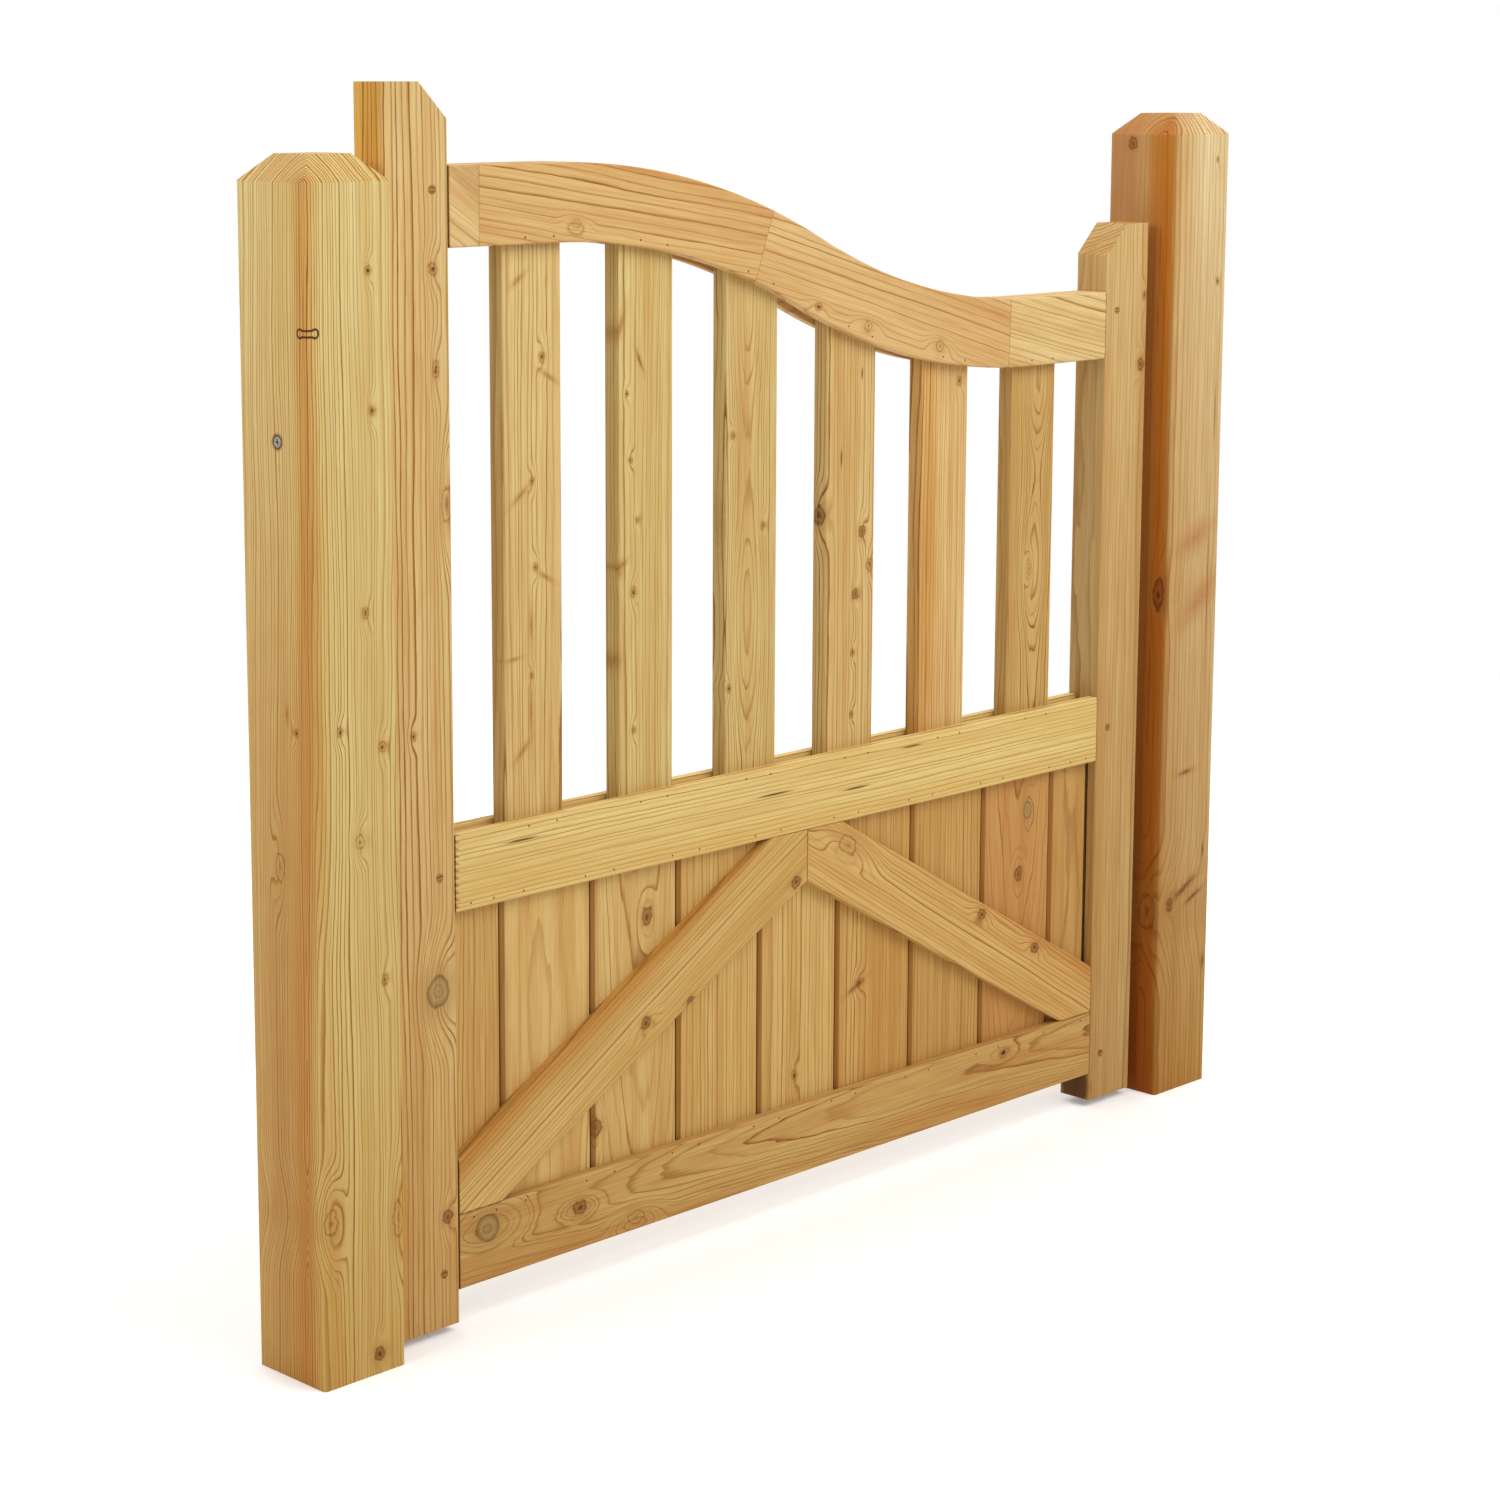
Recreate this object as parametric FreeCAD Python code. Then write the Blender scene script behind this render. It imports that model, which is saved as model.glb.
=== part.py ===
import FreeCAD, Part
import math
import os

# Arched softwood garden gate hung between two posts, in millimetres.
# X runs along the gate from the hinge post to the latch post, the front faces -Y and Z is up.
# The origin is on the ground, midway between the posts.

vector = FreeCAD.Vector
along_x = vector(1, 0, 0)
along_y = vector(0, 1, 0)
along_z = vector(0, 0, 1)

# Posts, whose tops stand a set height below or above the stiles' tops
post_width = 90.0
hinge_post_drop = 58.0
latch_post_rise = 114.0
post_top_chamfer = 22.5
post_ease = 3.0

# Leaf
leaf_width = 1050.0
leaf_thickness = 40.0
leaf_gap = 15.0
ground_clearance = 8.0
edge_ease = 2.0

# Stiles
stile_width = 70.0
hinge_stile_length = 1100.0
latch_stile_length = 950.0
stile_foot = 30.0
stile_horn = 70.0
stile_top_chamfer = 32.0

# Rails and their joints
rail_height = 70.0
panel_height = 278.0
groove_depth = 12.0
groove_fit = 0.1
tenon_length = 45.0
tenon_thickness = 16.0
tenon_fit = 0.1
mortise_end_room = 2.0
shoulder_gap = 0.8

# Swan neck top rail, glued up from four blocks: the first joint is placed from the hinge stile, the
# second from the middle of a pale near the centre and the third from the last pale
neck_run = 660.0
first_block_length = 35.0
middle_joint_shift = 5.0
last_joint_lead = 18.0

# Pales
pale_count = 6
pale_width = 70.0
pale_thickness = 18.0

# Tongued boards of the lower panel
board_thickness = 18.0
board_cover = 112.0
board_gap = 2.0
board_vee = 3.0
last_board_gap = 2.0
side_board_least = 30.0
tongue_thickness = 6.0
tongue_length = 8.0
tongue_fit = 0.3
groove_end_room = 1.0

# Braces
brace_width = 70.0

# Pegs and brads
peg_diameter = 8.0
peg_inset = 18.0
peg_shift = 15.0
peg_stand = 0.4
brad_diameter = 2.0
brad_length = 25.0
brad_sink = 1.0
brad_edge = 6.0
brad_inset = 18.0

# Strap hinges on the back, with their pintles on the hinge post
pin_diameter = 12.0
pin_fit = 0.05
pin_stand = 8.0
pin_chamfer = 1.5
strap_thickness = 5.0
strap_width = 40.0
strap_length = 185.0
strap_tip_radius = 14.0
strap_screw_count = 3
strap_screw_edge = 20.0
hinge_clearance = 0.8
pintle_boss_wall = 3.0
pintle_arm_height = 14.0
pintle_arm_thickness = 8.0
pintle_plate_thickness = 4.0
pintle_plate_width = 40.0
pintle_plate_height = 52.0
pintle_screw_edge = 13.0
pintle_eye_room = 2.0

# Sliding bolt on the back of the latch stile
rod_diameter = 12.0
rod_fit = 0.05
rod_throw = 40.0
rod_tip_inset = 1.0
rod_tip_chamfer = 1.5
rod_lift = 1.0
bolt_plate_thickness = 3.0
bolt_plate_length = 146.0
bolt_plate_width = 44.0
bolt_plate_edge = 4.0
bolt_plate_corner = 5.0
guide_width = 14.0
guide_inset = 20.0
guide_wall = 4.0
knob_diameter = 16.0
knob_height = 6.0
knob_ease = 1.5
knob_stem_diameter = 6.0
knob_stem_seat = 5.0
knob_neck = 2.5
keep_thickness = 3.0
keep_width = 28.0
keep_height = 64.0
socket_fit = 1.0
socket_room = 5.0

# Screws
screw_shank = 4.5
screw_head = 9.0
screw_recess_length = 5.0
screw_recess_width = 1.2
screw_recess_depth = 1.6
strap_screw_length = 34.0
pintle_screw_length = 45.0
bolt_screw_length = 25.0
keep_screw_length = 35.0
screw_edge = 9.0

# Lone screw in the outer face of the hinge post
post_screw_length = 60.0
post_screw_height = 815.0
post_screw_y = -4.0

# Reach of a cutter past the face that it opens
overcut = 1.0

# Lines and levels worked out from the sizes
leaf_left = -leaf_width / 2
leaf_right = leaf_width / 2
leaf_front = -leaf_thickness / 2
leaf_back = leaf_thickness / 2
inner_left = leaf_left + stile_width
inner_right = leaf_right - stile_width
inner_width = inner_right - inner_left
rail_left = inner_left + shoulder_gap
rail_right = inner_right - shoulder_gap
hinge_reveal = leaf_left - leaf_gap
latch_reveal = leaf_right + leaf_gap
bottom_rail_low = ground_clearance + stile_foot
bottom_rail_high = bottom_rail_low + rail_height
middle_rail_low = bottom_rail_high + panel_height
middle_rail_high = middle_rail_low + rail_height
bottom_rail_centre = (bottom_rail_low + bottom_rail_high) / 2
middle_rail_centre = (middle_rail_low + middle_rail_high) / 2
hinge_stile_top = ground_clearance + hinge_stile_length
latch_stile_top = ground_clearance + latch_stile_length
hinge_post_height = hinge_stile_top - hinge_post_drop
latch_post_height = latch_stile_top + latch_post_rise
neck_left = hinge_stile_top - stile_horn - rail_height / 2
neck_right = latch_stile_top - stile_horn - rail_height / 2
tenon_height = rail_height - 2 * groove_depth
board_front = -board_thickness / 2

# The swan neck is two equal tangent arcs between level ends
neck_start = -neck_run / 2
neck_end = neck_run / 2
neck_drop = neck_left - neck_right
neck_radius = (neck_run ** 2 + neck_drop ** 2) / (4 * neck_drop)
neck_turn = math.asin(neck_run / 2 / neck_radius)

# Hinge and bolt axes
pin_radius = pin_diameter / 2
eye_bore = pin_radius + pin_fit
eye_radius = eye_bore + strap_thickness
hinge_x = hinge_reveal + eye_radius + hinge_clearance
hinge_y = leaf_back + eye_radius
rod_radius = rod_diameter / 2
rod_y = leaf_back + bolt_plate_thickness + rod_lift + rod_radius
rod_z = neck_right

nodes = {}


def box(x_from, x_to, y_from, y_to, z_from, z_to):
    corner = vector(x_from, y_from, z_from)
    return Part.makeBox(x_to - x_from, y_to - y_from, z_to - z_from, corner)


def edges_along(shape, direction):
    # Straight edges that run in one direction
    found = []
    for edge in shape.Edges:
        if abs(abs(edge.tangentAt(edge.FirstParameter).dot(direction)) - 1) < 1e-6:
            found.append(edge)
    return found


def eased_bar(solid, direction, ease):
    # Planed timber with its four long arrises taken off
    return solid.makeFillet(ease, edges_along(solid, direction))


def prism(points, height):
    # A flat outline raised along a vector
    outline = Part.makePolygon(list(points) + [points[0]])
    return Part.Face(outline).extrude(height)


def cylinder(radius, length, foot, direction):
    return Part.makeCylinder(radius, length, foot, direction)


def cut_all(solid, cutters):
    # Cutters are taken away in one step, so touching ones leave clean faces
    if not cutters:
        return solid
    return solid.cut(cutters).removeSplitter()


def neck_height(x, offset):
    # Level of the line that runs at an offset above the swan neck's centre line
    upper_radius = neck_radius + offset
    lower_radius = neck_radius - offset
    if x <= neck_start:
        return neck_left + offset
    if x <= neck_start + upper_radius * math.sin(neck_turn):
        turn = math.asin((x - neck_start) / upper_radius)
        return neck_left - neck_radius + upper_radius * math.cos(turn)
    if x < neck_end:
        turn = math.asin((neck_end - x) / lower_radius)
        return neck_right + neck_radius - lower_radius * math.cos(turn)
    return neck_right + offset


neck_from = min(leaf_left, neck_start) - rail_height
neck_to = max(leaf_right, neck_end) + rail_height


def neck_line(offset):
    # Level run, falling arc, settling arc and level run, from left to right
    joint_x = neck_start + (neck_radius + offset) * math.sin(neck_turn)
    first_middle_x = neck_start + (neck_radius + offset) * math.sin(neck_turn / 2)
    second_middle_x = neck_end - (neck_radius - offset) * math.sin(neck_turn / 2)
    stations = (neck_from, neck_start, first_middle_x, joint_x, second_middle_x, neck_end, neck_to)
    spots = [vector(x, 0, neck_height(x, offset)) for x in stations]
    return [
        Part.makeLine(spots[0], spots[1]),
        Part.Arc(spots[1], spots[2], spots[3]).toShape(),
        Part.Arc(spots[3], spots[4], spots[5]).toShape(),
        Part.makeLine(spots[5], spots[6]),
    ]


def slab(edges, thickness):
    # A closed outline in the gate's middle plane, thickened to both sides
    face = Part.Face(Part.Wire(Part.__sortEdges__(edges)))
    face.translate(vector(0, -thickness / 2, 0))
    return face.extrude(vector(0, thickness, 0))


def neck_band(lower, upper, thickness):
    # The strip between two lines that follow the swan neck
    top = neck_line(upper)
    bottom = neck_line(lower)
    left_end = Part.makeLine(top[0].firstVertex().Point, bottom[0].firstVertex().Point)
    right_end = Part.makeLine(top[-1].lastVertex().Point, bottom[-1].lastVertex().Point)
    return slab(top + bottom + [left_end, right_end], thickness)


def under_neck(offset, thickness):
    # Everything below a line that follows the swan neck, down to the ground
    top = neck_line(offset)
    left_foot = vector(neck_from, 0, 0)
    right_foot = vector(neck_to, 0, 0)
    left_end = Part.makeLine(top[0].firstVertex().Point, left_foot)
    right_end = Part.makeLine(top[-1].lastVertex().Point, right_foot)
    return slab(top + [left_end, Part.makeLine(left_foot, right_foot), right_end], thickness)


def countersunk_screw(at, direction, length):
    # Flush head with a cross recess; at is the middle of the head's face
    head_depth = (screw_head - screw_shank) / 2
    head = Part.makeCone(screw_head / 2, screw_shank / 2, head_depth, at, direction)
    screw = head.fuse(cylinder(screw_shank / 2, length, at, direction)).removeSplitter()
    turn = FreeCAD.Rotation(along_z, direction)
    slots = []
    for width, depth in ((screw_recess_length, screw_recess_width), (screw_recess_width, screw_recess_length)):
        slot = box(-width / 2, width / 2, -depth / 2, depth / 2, -overcut, screw_recess_depth)
        slot.Placement = FreeCAD.Placement(at, turn)
        slots.append(slot)
    return screw.cut(slots[0].fuse(slots[1]))


def screw_hole(at, direction, length):
    # The room that a countersunk screw fills, its recess included
    head_depth = (screw_head - screw_shank) / 2
    head = Part.makeCone(screw_head / 2, screw_shank / 2, head_depth, at, direction)
    return head.fuse(cylinder(screw_shank / 2, length, at, direction)).removeSplitter()


def screw_set(spots, direction, length):
    screws = [countersunk_screw(spot, direction, length) for spot in spots]
    holes = [screw_hole(spot, direction, length) for spot in spots]
    return screws, holes


# Pegs through the stiles and tenons
peg_levels = {
    "hinge": (neck_left + peg_shift, middle_rail_centre, bottom_rail_centre - peg_shift),
    "latch": (neck_right + peg_shift, middle_rail_centre, bottom_rail_centre - peg_shift),
}
peg_lines = {"hinge": inner_left - peg_inset, "latch": inner_right + peg_inset}
pegs = {}
for side, levels in peg_levels.items():
    pegs[side] = []
    for level in levels:
        foot = vector(peg_lines[side], leaf_front - peg_stand, level)
        pegs[side].append(cylinder(peg_diameter / 2, leaf_thickness + peg_stand, foot, along_y))
all_pegs = pegs["hinge"] + pegs["latch"]


# Places of the pales and of the board joints
pale_space = (inner_width - pale_count * pale_width) / (pale_count + 1)
pale_lefts = []
for index in range(pale_count):
    pale_lefts.append(inner_left + pale_space + index * (pale_width + pale_space))
full_boards = int((inner_width - 2 * side_board_least) // board_cover)
side_board = (inner_width - full_boards * board_cover) / 2
board_joints = [inner_left + side_board + index * board_cover for index in range(full_boards + 1)]
board_edges = [inner_left] + board_joints + [inner_right]


# Brads through the front lips of the grooves, two to each pale or board end
def brad(x, z):
    foot = vector(x, leaf_front + brad_sink, z)
    return cylinder(brad_diameter / 2, brad_length - brad_sink, foot, along_y)


def brad_hole(x, z):
    foot = vector(x, leaf_front - overcut, z)
    return cylinder(brad_diameter / 2, brad_length + overcut, foot, along_y)


neck_under = -rail_height / 2
pale_brad_spots = []
for left in pale_lefts:
    for x in (left + brad_inset, left + pale_width - brad_inset):
        pale_brad_spots.append((x, middle_rail_high - brad_edge))
        pale_brad_spots.append((x, neck_height(x, neck_under + brad_edge)))
board_brad_spots = []
for left, right in zip(board_edges, board_edges[1:]):
    for x in (left + brad_inset, right - brad_inset):
        board_brad_spots.append((x, middle_rail_low + brad_edge))
        board_brad_spots.append((x, bottom_rail_high - brad_edge))
pale_brad_holes = [brad_hole(x, z) for x, z in pale_brad_spots]
board_brad_holes = [brad_hole(x, z) for x, z in board_brad_spots]


# Strap hinges: places of their screws
hinge_levels = {"upper": neck_left, "lower": bottom_rail_centre}
strap_tip = leaf_left + strap_length
strap_back = leaf_back + strap_thickness
first_strap_screw = leaf_left + stile_width / 2
strap_screw_step = (strap_tip - strap_screw_edge - first_strap_screw) / (strap_screw_count - 1)
strap_spots = []
for level in hinge_levels.values():
    for index in range(strap_screw_count):
        strap_spots.append(vector(first_strap_screw + index * strap_screw_step, strap_back, level))
strap_screws, strap_screw_holes = screw_set(strap_spots, -along_y, strap_screw_length)

# Pintle plates stand on the hinge post's reveal, in front of the hinge eyes
pintle_back = hinge_y - eye_radius - pintle_eye_room
pintle_front = pintle_back - pintle_plate_width
pintle_face = hinge_reveal + pintle_plate_thickness
pintle_spots = []
for level in hinge_levels.values():
    plate_low = level - strap_width / 2 - pintle_arm_height
    for z in (plate_low + pintle_screw_edge, plate_low + pintle_plate_height - pintle_screw_edge):
        pintle_spots.append(vector(pintle_face, (pintle_front + pintle_back) / 2, z))
pintle_screws, pintle_screw_holes = screw_set(pintle_spots, -along_x, pintle_screw_length)

# Sliding bolt: plate, guides and a keep over a square socket
bolt_right = leaf_right - bolt_plate_edge
bolt_left = bolt_right - bolt_plate_length
bolt_face = leaf_back + bolt_plate_thickness
bolt_low = rod_z - bolt_plate_width / 2
bolt_high = rod_z + bolt_plate_width / 2
bolt_spots = []
for x in (bolt_left + screw_edge, bolt_right - screw_edge):
    for z in (bolt_low + screw_edge, bolt_high - screw_edge):
        bolt_spots.append(vector(x, bolt_face, z))
bolt_screws, bolt_screw_holes = screw_set(bolt_spots, -along_y, bolt_screw_length)
keep_face = latch_reveal - keep_thickness
keep_spots = []
for z in (rod_z - keep_height / 2 + screw_edge, rod_z + keep_height / 2 - screw_edge):
    keep_spots.append(vector(keep_face, rod_y, z))
keep_screws, keep_screw_holes = screw_set(keep_spots, along_x, keep_screw_length)
socket_half = rod_radius + socket_fit
socket_end = leaf_right - rod_tip_inset + rod_throw + socket_room
bolt_socket = box(keep_face - overcut, socket_end, rod_y - socket_half, rod_y + socket_half,
                  rod_z - socket_half, rod_z + socket_half)

# The lone screw faces away from the leaf
post_screw_spot = vector(hinge_reveal - post_width, post_screw_y, post_screw_height)
post_screws, post_screw_holes = screw_set([post_screw_spot], along_x, post_screw_length)


# Posts with four-way chamfered tops
def post(x_from, height):
    half = post_width / 2
    centre = x_from + half
    shoulder = height - post_top_chamfer
    flat = half - post_top_chamfer
    outline = ((-half, 0), (half, 0), (half, shoulder), (flat, height), (-flat, height), (-half, shoulder))
    seen_from_front = prism([vector(centre + s, -half, z) for s, z in outline], vector(0, post_width, 0))
    seen_from_side = prism([vector(x_from, s, z) for s, z in outline], vector(post_width, 0, 0))
    column = eased_bar(box(x_from, x_from + post_width, -half, half, 0, height), along_z, post_ease)
    return column.common(seen_from_front).common(seen_from_side)


hinge_post = post(hinge_reveal - post_width, hinge_post_height)
nodes["hinge_post"] = cut_all(hinge_post, pintle_screw_holes + post_screw_holes)
nodes["latch_post"] = cut_all(post(latch_reveal, latch_post_height), keep_screw_holes + [bolt_socket])
nodes["post_screw"] = Part.makeCompound(post_screws)


# Stiles, mortised for the rails and grooved for the panel
def tenon(x_from, x_to, centre):
    half = tenon_thickness / 2
    return box(x_from, x_to, -half, half, centre - tenon_height / 2, centre + tenon_height / 2)


def mortise(x_from, x_to, centre):
    half = tenon_thickness / 2 + tenon_fit
    reach = tenon_height / 2 + tenon_fit
    return box(x_from, x_to, -half, half, centre - reach, centre + reach)


def panel_groove(x_from, x_to):
    half = board_thickness / 2 + groove_fit
    return box(x_from, x_to, -half, half, bottom_rail_high - groove_depth, middle_rail_low + groove_depth)


def top_corner(inner_x, outward, top):
    # The inner top corner that is sawn off each stile
    reach = stile_top_chamfer
    points = (
        vector(inner_x + outward * reach, leaf_front - overcut, top),
        vector(inner_x - outward * overcut, leaf_front - overcut, top - reach - overcut),
        vector(inner_x - outward * overcut, leaf_front - overcut, top + overcut),
        vector(inner_x + outward * reach, leaf_front - overcut, top + overcut),
    )
    return prism(points, vector(0, leaf_thickness + 2 * overcut, 0))


mortise_depth = tenon_length + mortise_end_room
hinge_stile = box(leaf_left, inner_left, leaf_front, leaf_back, ground_clearance, hinge_stile_top)
hinge_stile_cuts = [top_corner(inner_left, -1, hinge_stile_top)]
hinge_stile_cuts.append(panel_groove(inner_left - groove_depth, inner_left + overcut))
for centre in (bottom_rail_centre, middle_rail_centre, neck_left):
    hinge_stile_cuts.append(mortise(inner_left - mortise_depth, inner_left + overcut, centre))
hinge_stile_cuts += pegs["hinge"] + strap_screw_holes
nodes["hinge_stile"] = cut_all(eased_bar(hinge_stile, along_z, edge_ease), hinge_stile_cuts)

latch_stile = box(inner_right, leaf_right, leaf_front, leaf_back, ground_clearance, latch_stile_top)
latch_stile_cuts = [top_corner(inner_right, 1, latch_stile_top)]
latch_stile_cuts.append(panel_groove(inner_right - overcut, inner_right + groove_depth))
for centre in (bottom_rail_centre, middle_rail_centre, neck_right):
    latch_stile_cuts.append(mortise(inner_right - overcut, inner_right + mortise_depth, centre))
latch_stile_cuts += pegs["latch"] + bolt_screw_holes
nodes["latch_stile"] = cut_all(eased_bar(latch_stile, along_z, edge_ease), latch_stile_cuts)


# Straight rails, tenoned at both ends
def straight_rail(low, cutters):
    centre = low + rail_height / 2
    bar = box(rail_left, rail_right, leaf_front, leaf_back, low, low + rail_height)
    rail = eased_bar(bar, along_x, edge_ease)
    rail = rail.fuse(tenon(inner_left - tenon_length, rail_left, centre))
    rail = rail.fuse(tenon(rail_right, inner_right + tenon_length, centre))
    return cut_all(rail, cutters)


def rail_groove(thickness, z_from, z_to):
    half = thickness / 2 + groove_fit
    return box(inner_left, inner_right, -half, half, z_from, z_to)


bottom_groove = rail_groove(board_thickness, bottom_rail_high - groove_depth, bottom_rail_high + overcut)
middle_under_groove = rail_groove(board_thickness, middle_rail_low - overcut, middle_rail_low + groove_depth)
middle_top_groove = rail_groove(pale_thickness, middle_rail_high - groove_depth, middle_rail_high + overcut)
bottom_cuts = [bottom_groove] + board_brad_holes + all_pegs + strap_screw_holes
middle_cuts = [middle_under_groove, middle_top_groove] + board_brad_holes + pale_brad_holes + all_pegs
nodes["bottom_rail"] = straight_rail(bottom_rail_low, bottom_cuts)
nodes["middle_rail"] = straight_rail(middle_rail_low, middle_cuts)


# Swan neck rail, sawn into the blocks that it is glued from
neck_solid = neck_band(neck_under, -neck_under, leaf_thickness)
neck_arrises = []
for edge in neck_solid.Edges:
    if abs(edge.tangentAt(edge.FirstParameter).y) < 1e-6:
        if abs(edge.firstVertex().X - edge.lastVertex().X) > overcut:
            neck_arrises.append(edge)
neck_solid = neck_solid.makeFillet(edge_ease, neck_arrises)
neck_groove_width = pale_thickness + 2 * groove_fit
neck_groove = neck_band(neck_under - rail_height, neck_under + groove_depth, neck_groove_width)
neck_solid = neck_solid.cut(neck_groove)
neck_cuts = pale_brad_holes + all_pegs + strap_screw_holes + bolt_screw_holes


def square_across(x):
    # Direction square to the swan neck's centre line
    if x <= neck_start or x >= neck_end:
        return along_z
    if x < 0:
        return vector(x - neck_start, 0, neck_height(x, 0) - neck_left + neck_radius).normalize()
    return vector(neck_end - x, 0, neck_right + neck_radius - neck_height(x, 0)).normalize()


def saw_line(x, across):
    middle = vector(x, leaf_front - overcut, neck_height(x, 0))
    reach = across * (2 * rail_height)
    return [middle - reach, middle + reach]


middle_pale = pale_lefts[(pale_count - 1) // 2]
neck_joints = [inner_left + first_block_length]
neck_joints.append(middle_pale + pale_width / 2 + middle_joint_shift)
neck_joints.append(pale_lefts[-1] - last_joint_lead)
saw_lines = [saw_line(rail_left, along_z)]
saw_lines += [saw_line(x, square_across(x)) for x in neck_joints]
saw_lines.append(saw_line(rail_right, along_z))
block_count = len(saw_lines) - 1
for index in range(block_count):
    outline = saw_lines[index] + saw_lines[index + 1][::-1]
    block = neck_solid.common(prism(outline, vector(0, leaf_thickness + 2 * overcut, 0)))
    if index == 0:
        block = block.fuse(tenon(inner_left - tenon_length, rail_left, neck_left))
    if index == block_count - 1:
        block = block.fuse(tenon(rail_right, inner_right + tenon_length, neck_right))
    nodes["top_rail_block_%d" % (index + 1)] = cut_all(block, neck_cuts)


# Pales, let into the grooves above and below
pale_foot = middle_rail_high - groove_depth + groove_end_room
pale_limit = under_neck(neck_under + groove_depth - groove_end_room, leaf_thickness)
for index, left in enumerate(pale_lefts):
    half = pale_thickness / 2
    pale = box(left, left + pale_width, -half, half, pale_foot, max(hinge_stile_top, latch_stile_top))
    pale = eased_bar(pale, along_z, edge_ease).common(pale_limit)
    nodes["pale_%d" % (index + 1)] = cut_all(pale, pale_brad_holes)


# Tongued and grooved boards with vee joints; the last one enters the latch stile by its tongue
board_low = bottom_rail_high - groove_depth + groove_end_room
board_high = middle_rail_low + groove_depth - groove_end_room
half_board = board_thickness / 2
half_tongue = tongue_thickness / 2
half_slot = half_tongue + tongue_fit
slot_depth = tongue_length - board_gap + groove_end_room


def board(left, right, has_slot, tongue_end):
    points = []
    if has_slot:
        points += [(left, half_board - board_vee), (left, half_slot), (left + slot_depth, half_slot)]
        points += [(left + slot_depth, -half_slot), (left, -half_slot), (left, board_vee - half_board)]
        points += [(left + board_vee, -half_board)]
    else:
        points += [(left, half_board), (left, -half_board)]
    points += [(right - board_vee, -half_board), (right, board_vee - half_board), (right, -half_tongue)]
    points += [(tongue_end, -half_tongue), (tongue_end, half_tongue), (right, half_tongue)]
    points += [(right, half_board - board_vee), (right - board_vee, half_board)]
    if has_slot:
        points += [(left + board_vee, half_board)]
    return prism([vector(x, y, board_low) for x, y in points], vector(0, 0, board_high - board_low))


board_count = len(board_edges) - 1
housed = groove_depth - groove_end_room
for index in range(board_count):
    first = index == 0
    last = index == board_count - 1
    left = board_edges[0] - housed if first else board_edges[index] + board_gap / 2
    right = board_edges[-1] - last_board_gap if last else board_edges[index + 1] - board_gap / 2
    tongue_end = board_edges[-1] + housed if last else right + tongue_length
    plank = board(left, right, not first, tongue_end)
    nodes["board_%d" % (index + 1)] = cut_all(plank, board_brad_holes)


# Braces from the lower corners to the top middle, flush with the rails
def brace_seat(span, rise):
    # Length of each square seat that leaves the stated width across the grain
    seat = brace_width
    for _ in range(60):
        slope = math.atan2(rise - seat, span - seat)
        seat = brace_width / (math.sin(slope) + math.cos(slope))
    return seat


brace_span = inner_width / 2 - shoulder_gap
seat = brace_seat(brace_span, panel_height)
brace_outline = (
    (0, 0),
    (seat, 0),
    (brace_span, panel_height - seat),
    (brace_span, panel_height),
    (brace_span - seat, panel_height),
    (0, seat),
)
brace_points = [vector(rail_left + x, leaf_front, bottom_rail_high + z) for x, z in brace_outline]
left_brace = prism(brace_points, vector(0, board_front - leaf_front, 0))
brace_direction = vector(brace_span - seat, 0, panel_height - seat).normalize()
front_arrises = []
for edge in edges_along(left_brace, brace_direction):
    if abs(edge.CenterOfMass.y - leaf_front) < 1e-6:
        front_arrises.append(edge)
left_brace = left_brace.makeFillet(edge_ease, front_arrises)
nodes["left_brace"] = left_brace
nodes["right_brace"] = left_brace.mirror(vector(0, 0, 0), along_x)

# Pegs and brads
nodes["hinge_stile_pegs"] = Part.makeCompound(pegs["hinge"])
nodes["latch_stile_pegs"] = Part.makeCompound(pegs["latch"])
nodes["pale_brads"] = Part.makeCompound([brad(x, z) for x, z in pale_brad_spots])
nodes["board_brads"] = Part.makeCompound([brad(x, z) for x, z in board_brad_spots])


# Strap hinges: a strap rolled into an eye, on a pintle that stands off the post
def strap(level):
    low = level - strap_width / 2
    rise = eye_radius - strap_thickness
    leave_x = hinge_x + math.sqrt(eye_radius ** 2 - rise ** 2)
    eye_top = vector(hinge_x - eye_radius * math.sin(math.pi / 6), hinge_y + eye_radius * math.cos(math.pi / 6), low)
    start = vector(hinge_x, leaf_back, low)
    leave = vector(leave_x, strap_back, low)
    tip_back = vector(strap_tip, strap_back, low)
    tip_front = vector(strap_tip, leaf_back, low)
    outline = [
        Part.Arc(start, eye_top, leave).toShape(),
        Part.makeLine(leave, tip_back),
        Part.makeLine(tip_back, tip_front),
        Part.makeLine(tip_front, start),
    ]
    profile = Part.Face(Part.Wire(outline))
    body = profile.extrude(vector(0, 0, strap_width))
    tip_edges = [edge for edge in edges_along(body, along_y) if abs(edge.CenterOfMass.x - strap_tip) < 1e-6]
    body = body.makeFillet(strap_tip_radius, tip_edges)
    bore = cylinder(eye_bore, strap_width, vector(hinge_x, hinge_y, low), along_z)
    return cut_all(body, [bore] + strap_screw_holes)


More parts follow.
